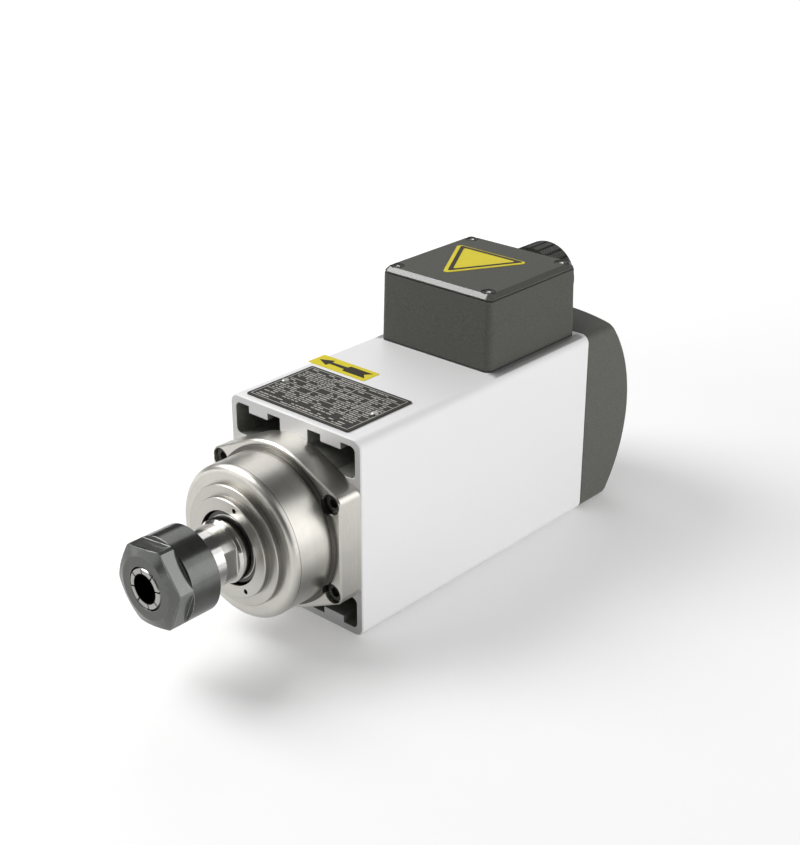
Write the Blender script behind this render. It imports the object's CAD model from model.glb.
from math import pi, radians
from random import Random

import bmesh
import bpy
from bpy.props import FloatProperty, FloatVectorProperty, IntProperty, PointerProperty
from mathutils import Euler, Matrix, Vector


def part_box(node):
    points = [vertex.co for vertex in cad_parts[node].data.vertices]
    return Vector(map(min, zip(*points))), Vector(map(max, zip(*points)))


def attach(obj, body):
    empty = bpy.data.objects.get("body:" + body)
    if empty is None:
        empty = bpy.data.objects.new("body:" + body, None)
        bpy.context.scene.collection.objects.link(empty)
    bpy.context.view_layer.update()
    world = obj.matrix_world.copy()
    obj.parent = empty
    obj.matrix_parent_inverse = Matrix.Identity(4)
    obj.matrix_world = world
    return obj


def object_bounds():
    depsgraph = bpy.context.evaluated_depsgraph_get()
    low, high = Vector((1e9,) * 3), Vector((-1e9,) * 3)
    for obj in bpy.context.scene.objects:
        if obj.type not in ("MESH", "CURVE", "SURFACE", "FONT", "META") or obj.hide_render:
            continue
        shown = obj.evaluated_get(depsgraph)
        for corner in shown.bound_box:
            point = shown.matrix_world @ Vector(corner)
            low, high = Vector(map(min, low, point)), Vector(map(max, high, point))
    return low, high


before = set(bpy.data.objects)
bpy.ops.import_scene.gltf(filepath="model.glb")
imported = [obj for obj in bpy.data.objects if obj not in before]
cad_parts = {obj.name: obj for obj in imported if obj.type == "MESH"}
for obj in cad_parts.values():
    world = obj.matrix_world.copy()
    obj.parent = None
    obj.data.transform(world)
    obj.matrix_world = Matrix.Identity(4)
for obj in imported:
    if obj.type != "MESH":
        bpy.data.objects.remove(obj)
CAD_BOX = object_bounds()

bl_info = {
    "name": "Motor spindle",
    "version": (1, 0, 0),
    "blender": (4, 5, 0),
    "location": "View3D > Sidebar > Spindle",
    "description": "Finishes, printed plates and studio for the air-cooled motor spindle",
    "category": "Object",
}

MM = 0.001
SOFT = 0.2 * MM               # width over which one tone turns into the next
AXIS_Z = 54 * MM              # height of the spindle axis

BODY_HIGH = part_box("motor_body")[1]
BODY_REAR, BODY_TOP = BODY_HIGH.y, BODY_HIGH.z
CHANNEL_X, CHANNEL_Z = 41.3 * MM, 50.1 * MM    # outer walls of the cooling channels, from the axis

NOSE_FACE_Y = -132.4 * MM     # front face of the bearing housing
NOSE_ROUND_Y = NOSE_FACE_Y + 3.7 * MM
SHOULDER_Y, SHOULDER_R = -108.4 * MM, 42.2 * MM    # ring between the nose and its flange

SLINGER_REAR_Y, COLLAR_R = -135.6 * MM, 16.6 * MM
FLATS_Y, FLATS_R, FLATS_REACH = -148.5 * MM, 14.9 * MM, 3.6 * MM    # middle of the shaft's wrench flats
THREAD_FRONT, THREAD_REAR, THREAD_ROOT_R = -180.5 * MM, -164.0 * MM, 15.6 * MM
COLLET_BORE_R = 7.7 * MM
NUT_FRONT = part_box("collet_nut")[0].y
NUT_FACE_Y = NUT_FRONT + 2.7 * MM
HEX_REAR_Y = NUT_FRONT + 10.2 * MM

BOX_LOW, BOX_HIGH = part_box("terminal_box")
BOX_Y, BOX_HALF_L = (BOX_LOW.y + BOX_HIGH.y) / 2, (BOX_HIGH.y - BOX_LOW.y) / 2
LID_Y = 50.25 * MM            # middle of the lid; the box reaches further back, where the gland sits
LID_SCREW_X, LID_SCREW_Y = 31.25 * MM, 31.5 * MM    # from the middle of the lid
GLAND_Z, GLAND_R = 129 * MM, 19 * MM

SMOOTH_GRAIN, SMOOTH_RELIEF = 2 * MM, 0.01 * MM     # of plastic that isn't spark-eroded

INK_T = 0.03 * MM
KEYLINE_OUT_R, KEYLINE_IN_R = 2.4 * MM, 1.9 * MM
CUT_OFF = 3.5 * MM                                  # what the label's rounded corners take off its width
ARROW_TIP, ARROW_NOTCH = (-17.5, 0), (14.6, 0)      # in millimetres, as the next lines
ARROW_SIDE = ((-9.6, 3.7), (-9.2, 1.2), (1.6, 1.5), (2.2, 3.5), (18, 3.5))
WORD_LENGTHS, WORD_GAPS = (1.4, 5.0), (0.5, 1.0)
WORD_CHANCE, WORD_SEED = 0.7, 7
TEXT_LINES, TEXT_HEIGHT = (0.31, 0.69), 0.15        # places and height of a row's text, as shares of the row
COLUMN_LINES = ((0.34, 3, 8), (0.56, 4, 7), (0.78, 2, 7))    # share of the width, first and last row

STAGE_CENTRE = Vector((0, -0.02, 0.07))
SOFTBOXES = (                 # setting, place, width, height and whether gloss shows it
    ("key", (-0.72, -0.42, 0.92), 0.7, 0.7, True),
    ("rim", (0.98, 0.78, 0.40), 0.7, 0.7, True),
    ("back", (-0.85, 0.80, 0.80), 0.9, 0.9, False),
    ("fill", (1.20, 0.0, 0.14), 0.9, 0.4, False),
)
FLAGS = (                     # name, place, width, length and the axis that it faces
    ("top_flag", (0.16, 0.45, 0.85), 0.85, 2.3, "Z"),
    ("left_flag", (-1.10, 0.60, 0.31), 2.8, 0.74, "X"),
    ("front_flag", (1.00, -1.10, 0.85), 2.8, 1.8, "Y"),
)
FLAG_TONE = 0.06
TABLE_PLACE, TABLE_SIZE = (0.06, -0.08, CAD_BOX[0][2] - 0.1 * MM), 1.0
TABLE_CENTRE, TABLE_REACH, TABLE_TONES = (0.055, -0.09), (0.0, 0.12), (0.12, 0.80)
FLOOR_Z, FLOOR_SIZE = CAD_BOX[0][2] - 0.2 * MM, 8.0
FLOOR_WHITE = (0.80, 0.80, 0.80, 1.0)
GLOW_REACH, FAR_GLOW = (0.3, 1.5), 0.75
WHITE = (1, 1, 1, 1)
CAMERA_PLACE, CAMERA_TILT, CAMERA_PAN = (0.4810, -0.5532, 0.4088), radians(65.389), radians(41.754)
CAMERA_LENS, CAMERA_SENSOR = 63.84, 36.0            # in millimetres


# ---------------------------------------------------------------- sizes and colours
class NameplateSettings(bpy.types.PropertyGroup):
    rules: IntProperty(
        name="Ruled rows", description="Rows that the plate's lines divide it into", default=8, min=2, max=16)
    line: FloatProperty(
        name="Line width", description="Width of a printed line", default=0.45 * MM, unit="LENGTH")
    border: FloatProperty(
        name="Border", description="Distance of the frame line from the plate's edge",
        default=1.7 * MM, unit="LENGTH")
    ink: FloatProperty(
        name="Ink thickness", description="Height of printed marks", default=INK_T, unit="LENGTH")
    black: FloatVectorProperty(
        name="Plate colour", description="Anodised ground of the plate", subtype="COLOR",
        default=(0.035, 0.034, 0.030))
    silver: FloatVectorProperty(
        name="Print colour", description="Bright lines and bars", subtype="COLOR",
        default=(0.62, 0.61, 0.57))


class LabelSettings(bpy.types.PropertyGroup):
    yellow: FloatVectorProperty(
        name="Label yellow", description="Ground of the two labels", subtype="COLOR",
        default=(0.68, 0.57, 0.010))
    ink: FloatVectorProperty(
        name="Label ink", description="Dark print on the labels", subtype="COLOR",
        default=(0.03, 0.024, 0.012))
    keyline: FloatProperty(
        name="Keyline", description="Width of the dark line in the triangle", default=2.4 * MM,
        unit="LENGTH")
    margin: FloatProperty(
        name="Margin", description="Yellow margin outside the dark line", default=1.6 * MM,
        unit="LENGTH")


class MetalSettings(bpy.types.PropertyGroup):
    turned: FloatVectorProperty(
        name="Turned steel", description="Flange, nose and cap", subtype="COLOR",
        default=(0.80, 0.775, 0.72))
    ground: FloatVectorProperty(
        name="Ground steel", description="Shaft and collet", subtype="COLOR",
        default=(0.82, 0.81, 0.78))
    oxide: FloatVectorProperty(
        name="Black oxide", description="Collet nut", subtype="COLOR", default=(0.168, 0.173, 0.165))
    worn: FloatVectorProperty(
        name="Worn edge", description="Where the oxide has rubbed off", subtype="COLOR",
        default=(0.60, 0.60, 0.57))
    thread_pitch: FloatProperty(
        name="Thread pitch", description="Pitch of the collet nut's thread", default=1.5 * MM,
        unit="LENGTH")


class CoatingSettings(bpy.types.PropertyGroup):
    coat: FloatVectorProperty(
        name="Body coating", description="Outside of the extruded body", subtype="COLOR",
        default=(0.80, 0.80, 0.80))
    channel: FloatVectorProperty(
        name="Channel", description="Inside of the cooling channels", subtype="COLOR",
        default=(0.155, 0.158, 0.14))
    plastic: FloatVectorProperty(
        name="Cover plastic", description="Terminal box and fan cover", subtype="COLOR",
        default=(0.070, 0.071, 0.062))
    grain: FloatProperty(
        name="Grain", description="Size of the moulded grain", default=0.75 * MM, unit="LENGTH")


class StudioSettings(bpy.types.PropertyGroup):
    ambient: FloatProperty(
        name="Ambient", description="Even light from all round", default=0.30, min=0)
    key: FloatProperty(
        name="Key", description="Softbox above and to the left", default=12.0, min=0, unit="POWER")
    back: FloatProperty(
        name="Back", description="Softbox behind and to the left", default=4.5, min=0, unit="POWER")
    fill: FloatProperty(
        name="Fill", description="Low softbox to the right", default=9.0, min=0, unit="POWER")
    rim: FloatProperty(
        name="Rim", description="Softbox behind and to the right", default=0.8, min=0, unit="POWER")
    glow: FloatProperty(
        name="Floor glow", description="Brings the pale floor up to white near the part", default=0.22, min=0)


GROUPS = {
    "spindle_plate": NameplateSettings,
    "spindle_labels": LabelSettings,
    "spindle_metal": MetalSettings,
    "spindle_coating": CoatingSettings,
    "spindle_studio": StudioSettings,
}


# ---------------------------------------------------------------- shader sums
class Term:
    """A socket of a finish that can be used in sums with numbers and other terms."""

    def __init__(self, finish, socket):
        self.finish = finish
        self.socket = socket

    def math(self, operation, *others, clamp=False):
        values = dict(enumerate((self, *others)))
        return self.finish.node("ShaderNodeMath", {"operation": operation, "use_clamp": clamp}, values)

    def reflected(self, operation, other):
        return self.finish.node("ShaderNodeMath", {"operation": operation}, {0: other, 1: self})

    def __add__(self, other):
        return self.math("ADD", other)

    __radd__ = __add__

    def __sub__(self, other):
        return self.math("SUBTRACT", other)

    def __rsub__(self, other):
        return self.reflected("SUBTRACT", other)

    def __mul__(self, other):
        return self.math("MULTIPLY", other)

    __rmul__ = __mul__

    def __truediv__(self, other):
        return self.math("DIVIDE", other)

    def __abs__(self):
        return self.math("ABSOLUTE")

    def maximum(self, other):
        return self.math("MAXIMUM", other)

    def root(self):
        return self.math("SQRT")

    def above(self, edge, soft):
        """0 below the edge, rising to 1 over the soft width."""
        return ((self - edge) / soft).math("ADD", 0.5, clamp=True)

    def below(self, edge, soft):
        return 1 - self.above(edge, soft)


class Finish:
    """One finish being made: a material or a world, its shader and the surface's own coordinates."""

    def __init__(self, owner):
        self.material = bpy.data.materials.new(owner) if isinstance(owner, str) else owner
        self.material.use_nodes = True
        self.tree = self.material.node_tree
        self.tree.nodes.clear()
        self.place = self.node("ShaderNodeTexCoord", output="Object")

    def node(self, kind, settings=None, sockets=None, output=0):
        made = self.tree.nodes.new(kind)
        for name, value in (settings or {}).items():
            setattr(made, name, value)
        for name, value in (sockets or {}).items():
            if isinstance(value, Term):
                self.tree.links.new(value.socket, made.inputs[name])
            else:
                made.inputs[name].default_value = value
        return Term(self, made.outputs[output])

    def axes(self):
        """X, Y and Z of the surface in metres."""
        return self.parts(self.place)

    def facing(self):
        """X, Y and Z of the surface's normal."""
        return self.parts(self.node("ShaderNodeNewGeometry", output="True Normal"))

    def parts(self, vector):
        split = self.node("ShaderNodeSeparateXYZ", sockets={0: vector})
        return [Term(self, socket) for socket in split.socket.node.outputs]

    def helix(self, pitch):
        """Ridge from 0 to 1 that winds round the spindle's axis."""
        x, y, z = self.axes()
        turn = (z - AXIS_Z).math("ARCTAN2", x) / (2 * pi)
        return (y / pitch + turn).math("PINGPONG", 0.5) * 2

    def vector(self, x, y, z):
        return self.node("ShaderNodeCombineXYZ", sockets={0: x, 1: y, 2: z})

    def noise(self, size, detail=3.0, rough=0.5, where=None):
        """Noise from 0 to 1 with features of the given size in metres."""
        sockets = {"Vector": where or self.place, "Scale": 1 / size, "Detail": detail, "Roughness": rough}
        return self.node("ShaderNodeTexNoise", sockets=sockets)

    def blend(self, mask, low, high):
        """Colour going from low to high with the mask."""
        def colour(value):
            return value if isinstance(value, Term) else (*value, 1.0)
        settings = {"data_type": "RGBA", "clamp_factor": True}
        return self.node("ShaderNodeMix", settings, {0: mask, 6: colour(low), 7: colour(high)}, output=2)

    def bevelled(self, radius):
        """Normal that rounds the piece's edges by the given radius."""
        return self.node("ShaderNodeBevel", {"samples": 4}, {"Radius": radius})

    def edges(self, radius, gain):
        """Mask that is 1 along sharp edges."""
        true_normal = self.node("ShaderNodeNewGeometry", output="True Normal")
        dot = self.node("ShaderNodeVectorMath", {"operation": "DOT_PRODUCT"},
                        {0: self.bevelled(radius), 1: true_normal}, output="Value")
        return ((1 - dot) * gain).math("ADD", 0.0, clamp=True)

    def bump(self, height, depth, strength=1.0, normal=None):
        sockets = {"Height": height, "Distance": depth, "Strength": strength}
        if normal is not None:
            sockets["Normal"] = normal
        return self.node("ShaderNodeBump", sockets=sockets)

    def shade(self, colour, rough, metal=0.0, normal=None, **constants):
        """Principled shader on the output; constants are set on its sockets."""
        sockets = {"Base Color": colour if isinstance(colour, Term) else (*colour, 1.0),
                   "Roughness": rough, "Metallic": metal}
        if normal is not None:
            sockets["Normal"] = normal
        for name, value in constants.items():
            sockets[name.replace("_", " ")] = value
        shader = self.node("ShaderNodeBsdfPrincipled", sockets=sockets)
        self.node_output(shader)
        return self.material

    def node_output(self, shader, kind="ShaderNodeOutputMaterial"):
        output = self.tree.nodes.new(kind)
        self.tree.links.new(shader.socket, output.inputs["Surface"])


def scaled(colour, factor):
    return tuple(channel * factor for channel in colour)


def radius_from_axis(finish, height=AXIS_Z):
    x, y, z = finish.axes()
    rise = z - height
    return (x * x + rise * rise).root(), y


# ---------------------------------------------------------------- finishes
def body_coating(settings):
    """Satin powder coat outside, dark and dusty inside the channels."""
    finish = Finish("body_coating")
    x, y, z = finish.axes()
    inside = abs(x).below(CHANNEL_X, SOFT) * abs(z - AXIS_Z).below(CHANNEL_Z, SOFT)
    inside = inside * abs(y).below(BODY_REAR - 0.15 * MM, 0.1 * MM)
    drift = finish.noise(30 * MM, 4.0)
    dust = finish.noise(2.2 * MM, 3.0)
    white = finish.blend(drift, scaled(settings.coat, 0.985), settings.coat)
    white = finish.blend(dust.above(0.70, 0.12) * 0.16, white, scaled(settings.coat, 0.86))
    dark = finish.blend(dust, scaled(settings.channel, 0.7), scaled(settings.channel, 1.4))
    peel = finish.noise(0.9 * MM, 2.0) * 0.6 + finish.noise(4 * MM, 2.0) * 0.4
    normal = finish.bump(peel, 0.03 * MM, 0.6, finish.bevelled(0.5 * MM))
    rough = 0.36 + drift * 0.08 + inside * 0.3
    white = finish.blend(beside_box(x, y, z), white, scaled(settings.coat, 0.38))
    sawn = abs(finish.facing()[1]).above(0.9, 0.1)
    white = finish.blend(sawn, white, scaled(settings.coat, 0.78))
    return finish.shade(finish.blend(inside, white, dark), rough, sawn * (1 - inside) * 0.4, normal)


def beside_box(x, y, z):
    """The grimy strips of the body's top on both sides of the terminal box."""
    strip = abs(x).above(BOX_HIGH.x - 0.2 * MM, 0.8 * MM) * z.above(BODY_TOP - 0.9 * MM, 0.5 * MM)
    return strip * abs(y - BOX_Y).below(BOX_HALF_L, 3 * MM)


def turned_metal(name, colour, rough, streak=1.0, edge=0.35 * MM, marks=None, thread=None):
    """Bright steel with the fine rings of turning and a little tarnish.

    Marks is a function that gives the mask of a darker place, how dark it is and how much rougher. A
    thread is given as its front end, its rear end, its root radius and its pitch.
    """
    finish = Finish(name)
    r, y = radius_from_axis(finish)
    rings = finish.noise(0.11 * MM, 2.0, 0.6, finish.vector(r, y, 0.0))
    broad = finish.noise(1.4 * MM, 3.0, 0.55, finish.vector(r, y, 0.0))
    stain = finish.noise(14 * MM, 5.0, 0.6)
    shine = finish.blend(broad, scaled(colour, 0.90), scaled(colour, 1.06))
    shine = finish.blend(stain.above(0.58, 0.25) * 0.35, shine, scaled(colour, 0.80))
    shine = finish.blend(finish.edges(edge, 3.0) * 0.5, shine, scaled(colour, 1.25))
    rough = rough + (stain * 0.10 + rings * 0.08) * streak
    if marks:
        place, tone, rougher = marks(finish, r, y)
        shine = finish.blend(place, shine, scaled(colour, tone))
        if rougher:
            rough = rough + place * rougher
    height = rings * 0.7 + broad * 0.3
    normal = finish.bump(height, 0.016 * MM * streak, 0.8, finish.bevelled(edge))
    if thread:
        first, last, root, pitch = thread
        ridge = finish.helix(pitch) * r.above(root, 0.1 * MM) * y.above(first, pitch) * y.below(last, pitch)
        normal = finish.bump(ridge, pitch * 0.6, 1.0, normal)
    return finish.shade(shine, rough, 1.0, normal)


def nose_marks(finish, r, y):
    """A fine line where the nose's rounding begins, and the crevice in front of its flange."""
    line = abs(y - NOSE_ROUND_Y).below(SOFT, SOFT)
    crevice = y.above(SHOULDER_Y - 0.3 * MM, 0.3 * MM) * r.below(SHOULDER_R, SOFT)
    return line * 0.8 + crevice, 0.2, 0.0


def cap_marks(finish, r, y):
    """The walls of the cap's steps."""
    return abs(finish.facing()[1]).below(0.5, 0.3) * y.below(NOSE_FACE_Y, 0.1 * MM), 0.35, 0.0


def shaft_marks(finish, r, y):
    """The slinger that turns in the cap, and the middles of the wrench flats."""
    slinger = r.above(COLLAR_R, SOFT) * y.below(SLINGER_REAR_Y, 0.1 * MM)
    flats = r.below(FLATS_R, 0.8 * MM) * abs(y - FLATS_Y).below(FLATS_REACH, 0.3 * MM)
    return slinger + flats * 0.7, 0.16, 0.25


def collet_marks(finish, r, y):
    """The inside of the collet's bore."""
    return r.below(COLLET_BORE_R, SOFT), 0.03, 0.0


def oxide_metal(name, colour, worn, rough=0.30, flats=None, front=None):
    """Black oxide steel, rubbed bright on its edges.

    Wrench flats lie behind the line y = flats and are paler; the face before y = front is darker.
    """
    finish = Finish(name)
    r, y = radius_from_axis(finish)
    rings = finish.noise(0.16 * MM, 2.0, 0.5, finish.vector(r, y, 0.0))
    cloud = finish.noise(6 * MM, 4.0, 0.6)
    scuff = finish.noise(1.3 * MM, 4.0, 0.65)
    wear = finish.edges(0.5 * MM, 4.0) * scuff.above(0.42, 0.3)
    tone = finish.blend(cloud, scaled(colour, 0.85), scaled(colour, 1.20))
    if flats:
        lying = abs(finish.facing()[1]).below(0.2, 0.1) * y.below(flats, SOFT)
        tone = finish.blend(lying, tone, scaled(colour, 1.7))
    if front:
        tone = finish.blend(y.below(front, SOFT), tone, scaled(colour, 0.88))
    tone = finish.blend(scuff.above(0.66, 0.1) * 0.25, tone, worn)
    tone = finish.blend(wear, tone, worn)
    normal = finish.bump(rings * 0.5 + scuff * 0.5, 0.02 * MM, 0.7, finish.bevelled(0.3 * MM))
    return finish.shade(tone, rough + cloud * 0.09, 0.92, normal)


def moulded_plastic(name, colour, grain, rough=0.52, relief=0.06 * MM, knurl=None, glossy=None):
    """Moulded plastic with a spark-eroded grain and paler rubbed edges.

    Knurl is the pitch of the crossed ridges on the gland's nut; glossy says where a coat shines.
    """
    finish = Finish(name)
    cells = finish.node("ShaderNodeTexVoronoi", {"feature": "F1"},
                        {"Vector": finish.place, "Scale": 1 / grain, "Randomness": 1.0})
    speck = finish.noise(grain * 0.9, 3.0, 0.7)
    cloud = finish.noise(22 * MM, 4.0)
    tone = finish.blend(speck.above(0.5, 0.4), scaled(colour, 0.60), scaled(colour, 1.42))
    tone = finish.blend(cloud * 0.5, tone, scaled(colour, 1.12))
    tone = finish.blend(finish.edges(0.5 * MM, 3.0) * 0.4, tone, scaled(colour, 2.0))
    height = cells * 0.5 + speck * 0.5
    normal = finish.bump(height, relief, 0.8, finish.bevelled(0.45 * MM))
    if knurl:
        normal = finish.bump(crossed_ridges(finish, knurl), knurl * 0.3, 0.9, normal)
    coat = glossy(finish) if glossy else 0.0
    return finish.shade(tone, rough + speck * 0.12, 0.0, normal, Specular_IOR_Level=0.25,
                        Coat_Weight=coat, Coat_Roughness=0.16)


def crossed_ridges(finish, pitch):
    """Diamond ridges from 0 to 1 round the cable gland's axis."""
    x, y, z = finish.axes()
    run = (z - GLAND_Z).math("ARCTAN2", x) * GLAND_R
    return abs(((run + y) * (pi / pitch)).math("SINE")) * abs(((run - y) * (pi / pitch)).math("SINE"))


def lid_slopes(finish):
    """The sloped edges round the top of the lid."""
    up = finish.facing()[2]
    return up.above(0.4, 0.1) * up.below(0.9, 0.1)


def cast_metal(name, colour):
    """Die-cast aluminium with a granular skin."""
    finish = Finish(name)
    skin = finish.noise(0.8 * MM, 4.0, 0.6)
    cloud = finish.noise(12 * MM, 3.0)
    tone = finish.blend(skin, scaled(colour, 0.85), scaled(colour, 1.08))
    normal = finish.bump(skin * 0.6 + cloud * 0.4, 0.08 * MM, 0.8, finish.bevelled(0.4 * MM))
    return finish.shade(tone, 0.42 + skin * 0.15, 0.9, normal)


def stacked_laminations(name, colour):
    """Steel sheets half a millimetre thick, stacked along the shaft."""
    finish = Finish(name)
    x, y, z = finish.axes()
    sheet = (y / (0.5 * MM)).math("FRACT")
    gap = sheet.below(0.12, 0.06)
    rust = finish.noise(5 * MM, 5.0, 0.65)
    tone = finish.blend(rust.above(0.55, 0.3) * 0.5, colour, (0.22, 0.13, 0.08))
    tone = finish.blend(gap * 0.8, tone, scaled(colour, 0.25))
    normal = finish.bump(1 - gap, 0.05 * MM, 0.8)
    return finish.shade(tone, 0.42 + rust * 0.2, 0.8, normal)


def wound_copper(name):
    """Enamelled wire in bundles, varnished."""
    finish = Finish(name)
    r, y = radius_from_axis(finish)
    twist = finish.noise(3 * MM, 2.0)
    strand = ((r + twist * (0.8 * MM)) * (2 * pi / (0.7 * MM))).math("SINE")
    varnish = finish.noise(4 * MM, 4.0)
    tone = finish.blend(varnish, (0.34, 0.12, 0.045), (0.56, 0.25, 0.10))
    tone = finish.blend(strand.above(-0.6, 0.4), scaled((0.34, 0.12, 0.045), 0.4), tone)
    return finish.shade(tone, 0.30, 0.6, finish.bump(strand, 0.12 * MM, 0.8))


def plain_metal(name, colour, rough, brushed=0.2 * MM):
    """Small bright hardware with tumbled scratches."""
    finish = Finish(name)
    scratch = finish.noise(brushed, 3.0, 0.7)
    cloud = finish.noise(3 * MM, 3.0)
    tone = finish.blend(cloud, scaled(colour, 0.85), scaled(colour, 1.1))
    normal = finish.bump(scratch, 0.012 * MM, 0.7, finish.bevelled(0.2 * MM))
    return finish.shade(tone, rough + scratch * 0.12, 1.0, normal)


def screw_heads(name, dark, bright):
    """The lid's four screws, bright in the middle and dark round the rim."""
    finish = Finish(name)
    x, y, z = finish.axes()
    away_x, away_y = abs(x) - LID_SCREW_X, abs(y - LID_Y) - LID_SCREW_Y
    middle = (away_x * away_x + away_y * away_y).root().below(1.1 * MM, 0.5 * MM)
    scratch = finish.noise(0.3 * MM, 3.0, 0.7)
    tone = finish.blend(middle, finish.blend(scratch, scaled(dark, 0.7), scaled(dark, 1.4)), bright)
    normal = finish.bump(scratch, 0.012 * MM, 0.7, finish.bevelled(0.2 * MM))
    return finish.shade(tone, 0.22 + scratch * 0.15, 1.0, normal)


def matt_rubber(name):
    """Black rubber with a fine grain."""
    finish = Finish(name)
    grain = finish.noise(0.4 * MM, 3.0, 0.7)
    tone = finish.blend(grain, (0.018, 0.018, 0.017), (0.040, 0.040, 0.037))
    return finish.shade(tone, 0.78, 0.0, finish.bump(grain, 0.03 * MM, 0.8))


def printed_film(name, colour, rough=0.38):
    """Printed film with a faint wave and a few specks."""
    finish = Finish(name)
    wave = finish.noise(9 * MM, 2.0)
    speck = finish.noise(0.7 * MM, 3.0, 0.7)
    tone = finish.blend(wave, scaled(colour, 0.94), scaled(colour, 1.05))
    tone = finish.blend(speck.above(0.70, 0.1) * 0.3, tone, scaled(colour, 0.72))
    normal = finish.bump(wave, 0.04 * MM, 0.5)
    return finish.shade(tone, rough + speck * 0.08, 0.0, normal, Specular_IOR_Level=0.2)


def anodised_plate(name, colour):
    """Dark anodised sheet, brushed along its width, with bare edges."""
    finish = Finish(name)
    x, y, z = finish.axes()
    brush = finish.noise(0.3 * MM, 3.0, 0.6, finish.vector(x * 0.05, y, z))
    cloud = finish.noise(11 * MM, 3.0)
    tone = finish.blend(brush, scaled(colour, 0.7), scaled(colour, 1.4))
    tone = finish.blend(finish.edges(0.3 * MM, 3.0), tone, scaled(colour, 5.0))
    normal = finish.bump(brush, 0.01 * MM, 0.6, finish.bevelled(0.2 * MM))
    return finish.shade(tone, 0.42 + cloud * 0.1, 0.0, normal, Specular_IOR_Level=0.15)


# ---------------------------------------------------------------- bmesh helpers
def new_piece(name, shape, finish, body="motor"):
    """Turn a bmesh into a piece that rides on a body."""
    bmesh.ops.recalc_face_normals(shape, faces=shape.faces)
    mesh = bpy.data.meshes.new(name)
    shape.to_mesh(mesh)
    shape.free()
    mesh.materials.append(finish)
    piece = bpy.data.objects.new(name, mesh)
    bpy.context.scene.collection.objects.link(piece)
    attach(piece, body)
    return piece


def add_bar(shape, x, y, width, length, low, high):
    """Flat printed bar, a thin box."""
    place = Matrix.Translation((x, y, (low + high) / 2))
    size = Matrix.Diagonal((width, length, high - low, 1.0))
    bmesh.ops.create_cube(shape, size=1.0, matrix=place @ size)


def add_prism(shape, corners, low, high):
    """Upright prism over a flat outline."""
    verts = [shape.verts.new((x, y, low)) for x, y in corners]
    raise_faces(shape, [shape.faces.new(verts)], high - low)


def raise_faces(shape, faces, height):
    """Give flat faces a thickness."""
    raised = bmesh.ops.extrude_face_region(shape, geom=faces)["geom"]
    lifted = [part for part in raised if isinstance(part, bmesh.types.BMVert)]
    bmesh.ops.translate(shape, verts=lifted, vec=(0, 0, height))


def dress(finish, *nodes):
    """Give nodes of the solid model a finish."""
    for node in nodes:
        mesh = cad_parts[node].data
        mesh.materials.clear()
        mesh.materials.append(finish)
        for face in mesh.polygons:
            face.material_index = 0


# ---------------------------------------------------------------- operators
class SPINDLE_OT_body(bpy.types.Operator):
    """Coat the extruded body"""
    bl_idname = "spindle.body"
    bl_label = "Body"

    def execute(self, context):
        dress(body_coating(context.scene.spindle_coating), "motor_body")
        return {"FINISHED"}


class SPINDLE_OT_nose(bpy.types.Operator):
    """Finish the front bearing housing, its cap and the motor's black screws"""
    bl_idname = "spindle.nose"
    bl_label = "Nose"

    def execute(self, context):
        turned = context.scene.spindle_metal.turned
        dress(turned_metal("turned_steel", turned, 0.24, marks=nose_marks), "front_housing")
        dress(turned_metal("cap_steel", scaled(turned, 0.88), 0.26, marks=cap_marks), "front_bearing_cap")
        black = oxide_metal("black_screw", (0.10, 0.102, 0.09), (0.24, 0.24, 0.22), 0.48)
        dress(black, "front_housing_screws", "rear_shield_screws", "fan_cover_screws")
        return {"FINISHED"}


class SPINDLE_OT_shaft(bpy.types.Operator):
    """Finish the shaft and cut the nut's thread on it"""
    bl_idname = "spindle.shaft"
    bl_label = "Shaft"

    def execute(self, context):
        metal = context.scene.spindle_metal
        thread = (THREAD_FRONT, THREAD_REAR, THREAD_ROOT_R, metal.thread_pitch)
        ground = turned_metal("ground_steel", metal.ground, 0.11, 0.4, marks=shaft_marks, thread=thread)
        dress(ground, "spindle_shaft")
        dress(oxide_metal("lock_nut_oxide", metal.oxide, metal.worn), "bearing_lock_nut")
        return {"FINISHED"}


class SPINDLE_OT_collet(bpy.types.Operator):
    """Finish the collet and its nut"""
    bl_idname = "spindle.collet"
    bl_label = "Collet and nut"

    def execute(self, context):
        metal = context.scene.spindle_metal
        grey = scaled(metal.ground, 0.62)
        dress(turned_metal("collet_steel", grey, 0.20, 0.6, 0.25 * MM, marks=collet_marks), "collet")
        oxide = oxide_metal("black_oxide", metal.oxide, metal.worn, 0.15, HEX_REAR_Y, NUT_FACE_Y)
        dress(oxide, "collet_nut")
        return {"FINISHED"}


class SPINDLE_OT_bearings(bpy.types.Operator):
    """Finish the ball bearings, their preload spring and the brass parts"""
    bl_idname = "spindle.bearings"
    bl_label = "Bearings"

    def execute(self, context):
        steel = turned_metal("bearing_steel", (0.64, 0.65, 0.66), 0.14, 0.4, 0.25 * MM)
        dress(steel, "front_bearing_outer_rings", "front_bearing_inner_rings", "front_bearing_balls",
              "rear_bearing_outer_ring", "rear_bearing_inner_ring", "rear_bearing_balls")
        brass = plain_metal("brass", (0.66, 0.45, 0.16), 0.28)
        dress(brass, "front_bearing_cages", "rear_bearing_cage",
              "terminal_studs", "terminal_links", "terminal_nuts")
        spring = plain_metal("spring_steel", (0.24, 0.24, 0.25), 0.32)
        dress(spring, "preload_spring", "fan_circlip")
        return {"FINISHED"}


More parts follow.
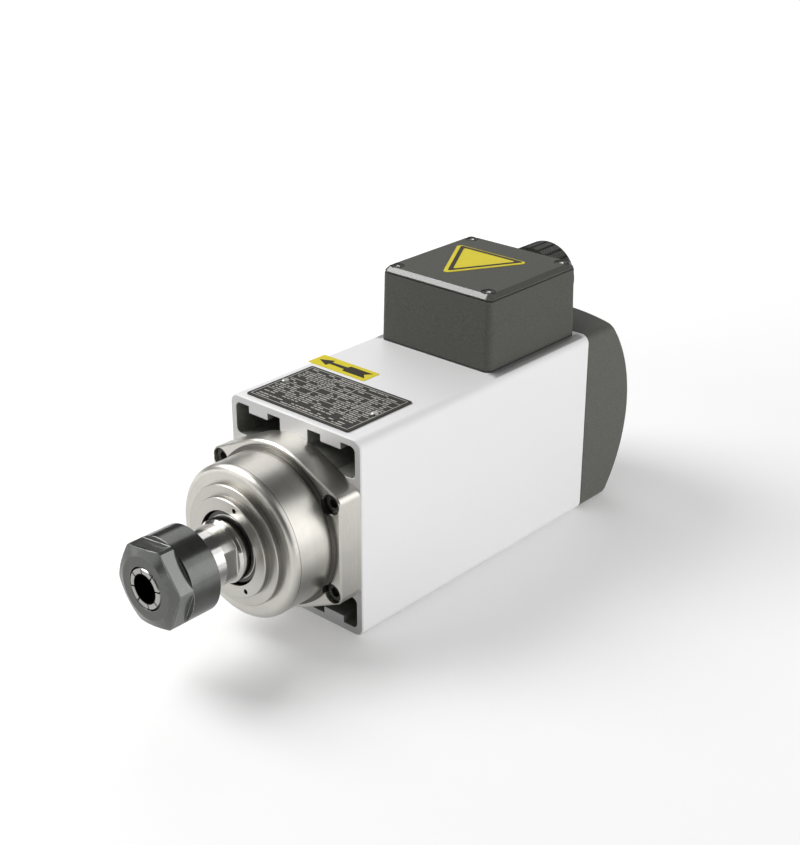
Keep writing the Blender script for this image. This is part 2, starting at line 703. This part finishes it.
class SPINDLE_OT_windings(bpy.types.Operator):
    """Finish the stator, the rotor and the rear end shield"""
    bl_idname = "spindle.windings"
    bl_label = "Stator and rotor"

    def execute(self, context):
        stack = stacked_laminations("lamination_steel", (0.30, 0.31, 0.33))
        dress(stack, "stator_core", "rotor_core")
        dress(wound_copper("copper_winding"), "stator_windings")
        cast = cast_metal("cast_aluminium", (0.60, 0.61, 0.62))
        dress(cast, "rotor_end_rings", "rear_end_shield")
        return {"FINISHED"}


class SPINDLE_OT_fan(bpy.types.Operator):
    """Finish the cooling fan, its cover and the terminal block"""
    bl_idname = "spindle.fan"
    bl_label = "Fan and cover"

    def execute(self, context):
        coating = context.scene.spindle_coating
        cover = moulded_plastic("fan_cover_plastic", scaled(coating.plastic, 1.36), coating.grain)
        dress(cover, "fan_cover")
        fan = moulded_plastic("fan_plastic", scaled(coating.plastic, 0.6), SMOOTH_GRAIN, 0.38, SMOOTH_RELIEF)
        dress(fan, "cooling_fan", "terminal_block")
        return {"FINISHED"}


class SPINDLE_OT_terminal_box(bpy.types.Operator):
    """Finish the terminal box, its lid, its gaskets, its screws and its cable gland"""
    bl_idname = "spindle.terminal_box"
    bl_label = "Terminal box"

    def execute(self, context):
        coating = context.scene.spindle_coating
        dress(moulded_plastic("cover_plastic", coating.plastic, coating.grain), "terminal_box")
        lid = moulded_plastic("lid_plastic", coating.plastic, coating.grain, glossy=lid_slopes)
        dress(lid, "terminal_lid")
        dress(matt_rubber("seal_rubber"), "box_gasket", "lid_gasket", "gland_seal")
        dress(plain_metal("zinc_screw", (0.62, 0.62, 0.60), 0.22), "terminal_box_screws", "nameplate_rivets")
        dress(screw_heads("lid_screw", (0.03, 0.03, 0.028), (0.80, 0.80, 0.76)), "lid_screws")
        smooth = (SMOOTH_GRAIN, 0.45, SMOOTH_RELIEF)
        gland = moulded_plastic("gland_plastic", scaled(coating.plastic, 0.6), *smooth)
        dress(gland, "gland_body", "gland_locknut")
        grip = moulded_plastic("grip_plastic", scaled(coating.plastic, 0.7), *smooth, knurl=1.6 * MM)
        dress(grip, "gland_nut")
        return {"FINISHED"}


class SPINDLE_OT_nameplate(bpy.types.Operator):
    """Rule the nameplate with a frame, lines and plain bars in place of words"""
    bl_idname = "spindle.nameplate"
    bl_label = "Nameplate"

    def execute(self, context):
        plate = context.scene.spindle_plate
        dress(anodised_plate("plate_black", plate.black), "nameplate")
        low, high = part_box("nameplate")
        floor, top = high.z, high.z + plate.ink
        left, right = low.x + plate.border, high.x - plate.border
        front, rear = low.y + plate.border, high.y - plate.border
        middle_x, middle_y = (left + right) / 2, (front + rear) / 2
        width, length = right - left, rear - front
        row = length / plate.rules
        shape = bmesh.new()
        for y in (front, rear):
            add_bar(shape, middle_x, y, width, plate.line, floor, top)
        for x in (left, right):
            add_bar(shape, x, middle_y, plate.line, length, floor, top)
        for i in range(2, plate.rules):
            add_bar(shape, middle_x, front + i * row, width, plate.line, floor, top)
        for share, first, last in COLUMN_LINES:
            middle = front + (first + last) / 2 * row
            add_bar(shape, left + share * width, middle, plate.line, (last - first) * row, floor, top)
        words = Random(WORD_SEED)
        for i in range(plate.rules):
            x = left + 2.2 * MM
            while x < right - 5 * MM:
                run = words.uniform(*WORD_LENGTHS) * MM
                for share in TEXT_LINES:
                    if words.random() < WORD_CHANCE:
                        y = front + (i + share) * row
                        add_bar(shape, x + run / 2, y, run, row * TEXT_HEIGHT, floor, top)
                x += run + words.uniform(*WORD_GAPS) * MM
        silver = plain_metal("plate_silver", plate.silver, 0.34)
        new_piece("plate_print", shape, silver)
        return {"FINISHED"}


class SPINDLE_OT_labels(bpy.types.Operator):
    """Print the turning arrow and the triangle's keyline"""
    bl_idname = "spindle.labels"
    bl_label = "Labels"

    def execute(self, context):
        labels = context.scene.spindle_labels
        dress(printed_film("yellow_label", labels.yellow), "arrow_label", "lid_label")
        ink = printed_film("label_ink", labels.ink, 0.45)
        new_piece("arrow_print", self.arrow(), ink)
        new_piece("triangle_print", self.triangle(labels), ink)
        return {"FINISHED"}

    def arrow(self):
        """The arrow that shows which way the shaft turns."""
        low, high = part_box("arrow_label")
        x, y = (low.x + high.x) / 2, (low.y + high.y) / 2
        other_side = [(along, -across) for along, across in reversed(ARROW_SIDE)]
        outline = (ARROW_TIP, *ARROW_SIDE, ARROW_NOTCH, *other_side)
        shape = bmesh.new()
        corners = [(x + along * MM, y + across * MM) for along, across in outline]
        add_prism(shape, corners, high.z, high.z + INK_T)
        return shape

    def triangle(self, labels):
        """The dark line that runs round inside the triangular label."""
        low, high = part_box("lid_label")
        middle_y = low.y + (high.y - low.y) * 2 / 3 + 0.2 * MM
        place = Matrix.Translation(((low.x + high.x) / 2, middle_y, high.z)) @ Matrix.Rotation(pi, 4, "Z")
        corner_r = (high.x - low.x + CUT_OFF) / 3 ** 0.5
        shape = bmesh.new()
        inner = labels.margin + labels.keyline
        for inset, rounding in ((labels.margin, KEYLINE_OUT_R), (inner, KEYLINE_IN_R)):
            loop = bmesh.ops.create_circle(shape, segments=3, radius=corner_r - 2 * inset, matrix=place)
            bmesh.ops.bevel(shape, geom=loop["verts"], offset=rounding, segments=6, profile=0.5,
                            affect="VERTICES", material=-1)
        bmesh.ops.bridge_loops(shape, edges=shape.edges)
        raise_faces(shape, shape.faces, INK_T)
        return shape


class SPINDLE_OT_studio(bpy.types.Operator):
    """Set the floor, the lights, the world and the camera"""
    bl_idname = "spindle.studio"
    bl_label = "Studio"

    def execute(self, context):
        scene = context.scene
        studio = scene.spindle_studio
        scene.view_settings.view_transform = "Standard"
        self.make_floor(scene, studio)
        self.make_world(scene, studio)
        for name, place, width, height, in_gloss in SOFTBOXES:
            softbox = self.make_softbox(scene, name + "_softbox", place, width, height, getattr(studio, name))
            softbox.visible_glossy = in_gloss
        for name, place, width, length, facing in FLAGS:
            self.make_flag(scene, name, place, width, length, facing)
        self.make_flag(scene, "table_flag", TABLE_PLACE, TABLE_SIZE, TABLE_SIZE, "Z",
                       TABLE_CENTRE, TABLE_REACH, TABLE_TONES)
        self.make_camera(scene)
        return {"FINISHED"}

    def make_camera(self, scene):
        camera = bpy.data.cameras.new("camera")
        camera.lens = CAMERA_LENS
        camera.sensor_width = CAMERA_SENSOR
        camera.clip_start = 0.01
        holder = bpy.data.objects.new("camera", camera)
        holder.location = CAMERA_PLACE
        holder.rotation_euler = (CAMERA_TILT, 0, CAMERA_PAN)
        scene.collection.objects.link(holder)
        scene.camera = holder

    def make_sheet(self, scene, name, place, width, length, facing="Z"):
        """Flat sheet that is part of the stage."""
        shape = bmesh.new()
        bmesh.ops.create_grid(shape, x_segments=1, y_segments=1, size=0.5)
        bmesh.ops.scale(shape, verts=shape.verts, vec=(width, length, 1))
        turn = {"X": (pi / 2, 0, pi / 2), "Y": (pi / 2, 0, 0), "Z": (0, 0, 0)}[facing]
        bmesh.ops.transform(shape, verts=shape.verts,
                            matrix=Matrix.Translation(place) @ Euler(turn).to_matrix().to_4x4())
        mesh = bpy.data.meshes.new(name)
        shape.to_mesh(mesh)
        shape.free()
        sheet = bpy.data.objects.new(name, mesh)
        scene.collection.objects.link(sheet)
        return sheet

    def make_glow(self, finish, centre, reach, tones):
        """Light that goes from one tone to the other between two distances from the centre."""
        x, y, z = finish.axes()
        x, y = x - centre[0], y - centre[1]
        near, far = reach
        share = ((x * x + y * y).root() - near) / (far - near)
        low, high = tones
        colour = finish.blend(share, (low, low, low), (high, high, high))
        return finish.node("ShaderNodeEmission", sockets={"Color": colour, "Strength": 1.0})

    def make_floor(self, scene, studio):
        """Pale floor that keeps the shadow and turns white far from the part."""
        floor = self.make_sheet(scene, "floor", (0, 0, FLOOR_Z), FLOOR_SIZE, FLOOR_SIZE)
        finish = Finish("studio_floor")
        diffuse = finish.node("ShaderNodeBsdfDiffuse", sockets={"Color": FLOOR_WHITE})
        glow = self.make_glow(finish, (0, 0), GLOW_REACH, (studio.glow, FAR_GLOW))
        both = finish.node("ShaderNodeAddShader", sockets={0: diffuse, 1: glow})
        path = self.seen_rays(finish)
        finish.node_output(finish.node("ShaderNodeMixShader", sockets={0: path, 1: diffuse, 2: both}))
        floor.data.materials.append(finish.material)

    def seen_rays(self, finish):
        """1 for rays of the camera, of gloss and of glass, 0 for those that only light."""
        path = finish.node("ShaderNodeLightPath", output="Is Camera Ray")
        outputs = path.socket.node.outputs
        for name in ("Is Glossy Ray", "Is Transmission Ray"):
            path = path.maximum(Term(finish, outputs[name]))
        return path

    def make_world(self, scene, studio):
        """World that is seen white and lights evenly."""
        world = bpy.data.worlds.new("studio")
        sky = Finish(world)
        seen = sky.node("ShaderNodeBackground", sockets={"Color": WHITE, "Strength": 1.0})
        lit = sky.node("ShaderNodeBackground", sockets={"Color": WHITE, "Strength": studio.ambient})
        both = sky.node("ShaderNodeMixShader", sockets={0: self.seen_rays(sky), 1: lit, 2: seen})
        sky.node_output(both, "ShaderNodeOutputWorld")
        scene.world = world

    def make_flag(self, scene, name, place, width, length, facing, centre=(0, 0), reach=(0.0, 1.0),
                  tones=(FLAG_TONE, FLAG_TONE)):
        """Dark board that only reflections show."""
        flag = self.make_sheet(scene, name, place, width, length, facing)
        finish = Finish(name)
        finish.node_output(self.make_glow(finish, centre, reach, tones))
        flag.data.materials.append(finish.material)
        for rays in ("camera", "diffuse", "transmission", "volume_scatter", "shadow"):
            setattr(flag, "visible_" + rays, False)

    def make_softbox(self, scene, name, place, width, height, power):
        """Lamp that points at the middle of the stage."""
        lamp = bpy.data.lights.new(name, "AREA")
        lamp.shape = "RECTANGLE"
        lamp.size, lamp.size_y = width, height
        lamp.energy = power
        holder = bpy.data.objects.new(name, lamp)
        holder.location = place
        holder.rotation_euler = (STAGE_CENTRE - holder.location).to_track_quat("-Z", "Y").to_euler()
        holder.visible_camera = False
        scene.collection.objects.link(holder)
        return holder


OPERATORS = (SPINDLE_OT_body, SPINDLE_OT_nose, SPINDLE_OT_shaft, SPINDLE_OT_collet, SPINDLE_OT_bearings,
             SPINDLE_OT_windings, SPINDLE_OT_fan, SPINDLE_OT_terminal_box, SPINDLE_OT_nameplate,
             SPINDLE_OT_labels, SPINDLE_OT_studio)


class SPINDLE_PT_panel(bpy.types.Panel):
    """The spindle's pieces and their sizes"""
    bl_idname = "SPINDLE_PT_panel"
    bl_label = "Motor spindle"
    bl_space_type = "VIEW_3D"
    bl_region_type = "UI"
    bl_category = "Spindle"

    def draw(self, context):
        for group in GROUPS:
            settings = getattr(context.scene, group)
            for name in settings.bl_rna.properties.keys():
                if name not in ("rna_type", "name"):
                    self.layout.prop(settings, name)
        for operator in OPERATORS:
            self.layout.operator(operator.bl_idname)


def register():
    for group, kind in GROUPS.items():
        bpy.utils.register_class(kind)
        setattr(bpy.types.Scene, group, PointerProperty(type=kind))
    for kind in (*OPERATORS, SPINDLE_PT_panel):
        bpy.utils.register_class(kind)


def unregister():
    for kind in (SPINDLE_PT_panel, *reversed(OPERATORS)):
        bpy.utils.unregister_class(kind)
    for group, kind in GROUPS.items():
        delattr(bpy.types.Scene, group)
        bpy.utils.unregister_class(kind)


def main():
    register()
    for operator in OPERATORS:
        family, action = operator.bl_idname.split(".")
        getattr(getattr(bpy.ops, family), action)()


if __name__ == "__main__":
    main()
